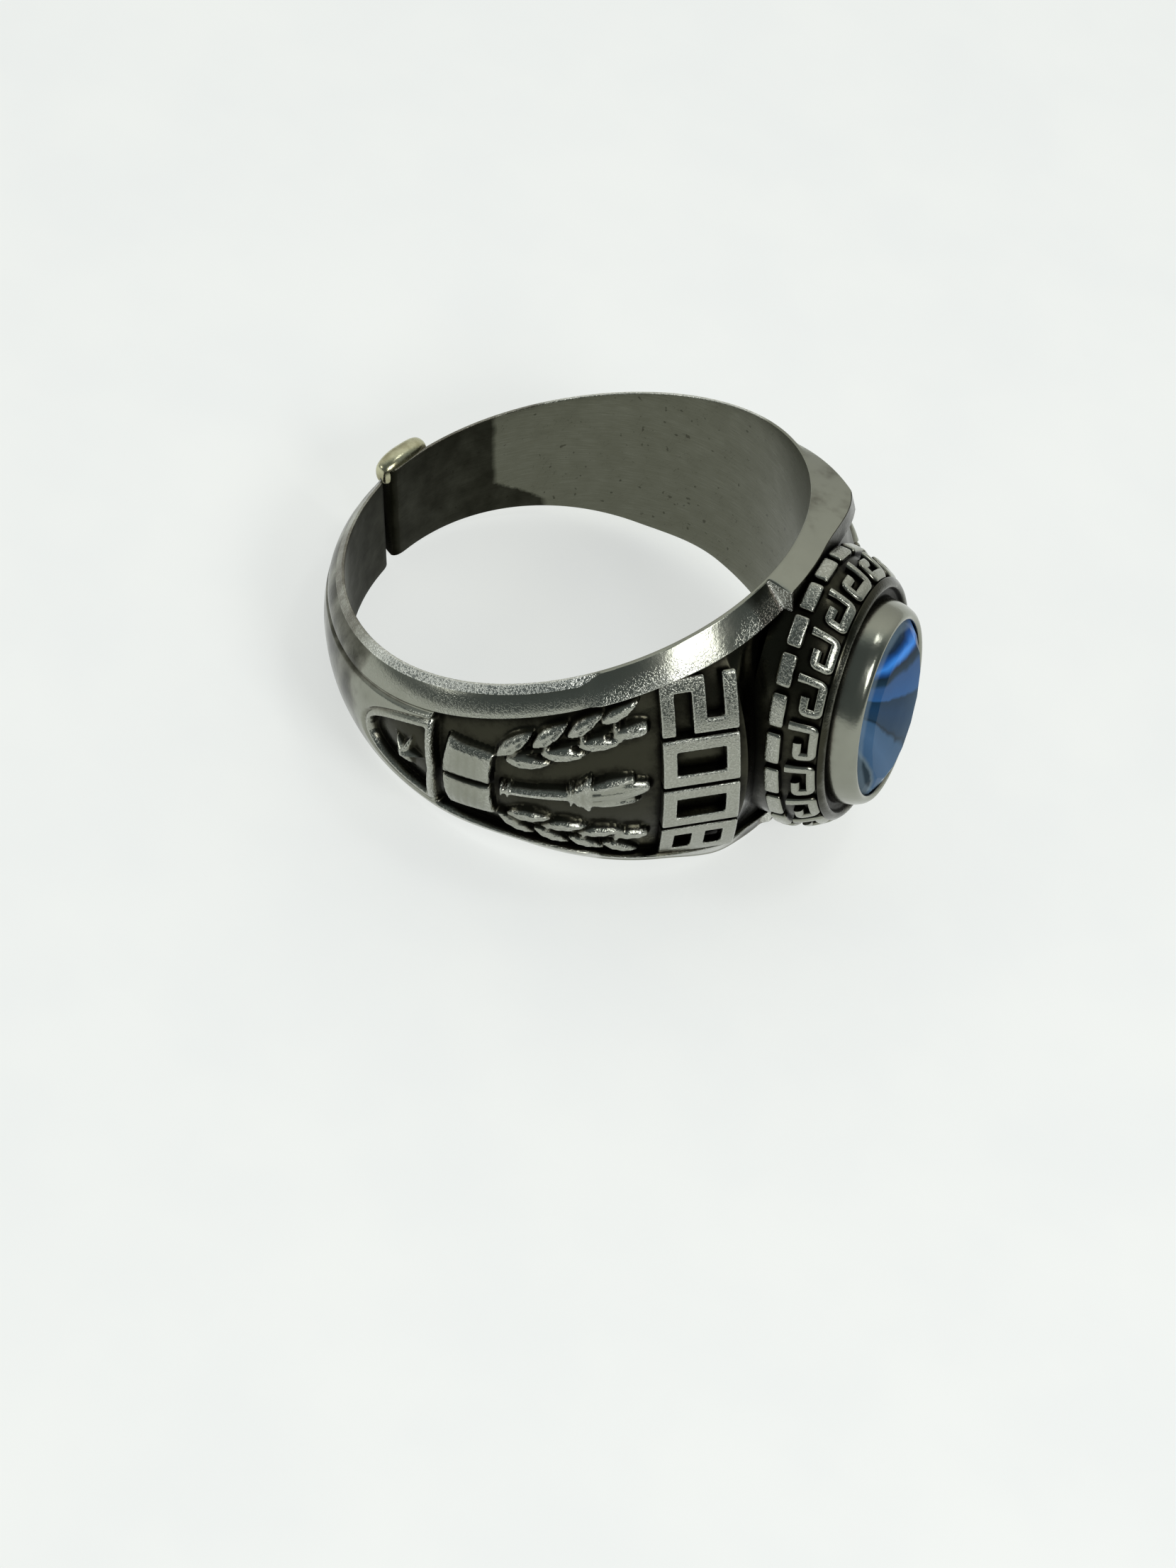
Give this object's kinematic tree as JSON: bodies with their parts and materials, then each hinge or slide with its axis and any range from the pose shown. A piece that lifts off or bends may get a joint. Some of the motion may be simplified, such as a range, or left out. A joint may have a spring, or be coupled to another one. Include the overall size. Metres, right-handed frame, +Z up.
{
  "type": "class ring",
  "caption": "Class ring lying on its side: tapered cast band with relief shoulders, raised oval head with a fret border, and a faceted blue oval stone in a collar.",
  "frame": {"origin": "middle of the ring's box on the floor that it lies on", "axes": "+Z up from the floor, +X towards the head and its stone, +Y across the band; the finger hole's axis leans 13.8 degrees from +Z towards -X"},
  "size_m": [0.026, 0.0232, 0.0144],
  "materials": {
    "white_metal": "antiqued white metal: worn polish on the high places, brown-black tarnish in the recesses",
    "blue_stone": "clear blue cut stone, polished facets"
  },
  "bodies": {
    "root": {"ring_body": "white_metal", "stone": "blue_stone"}
  },
  "joints": []
}
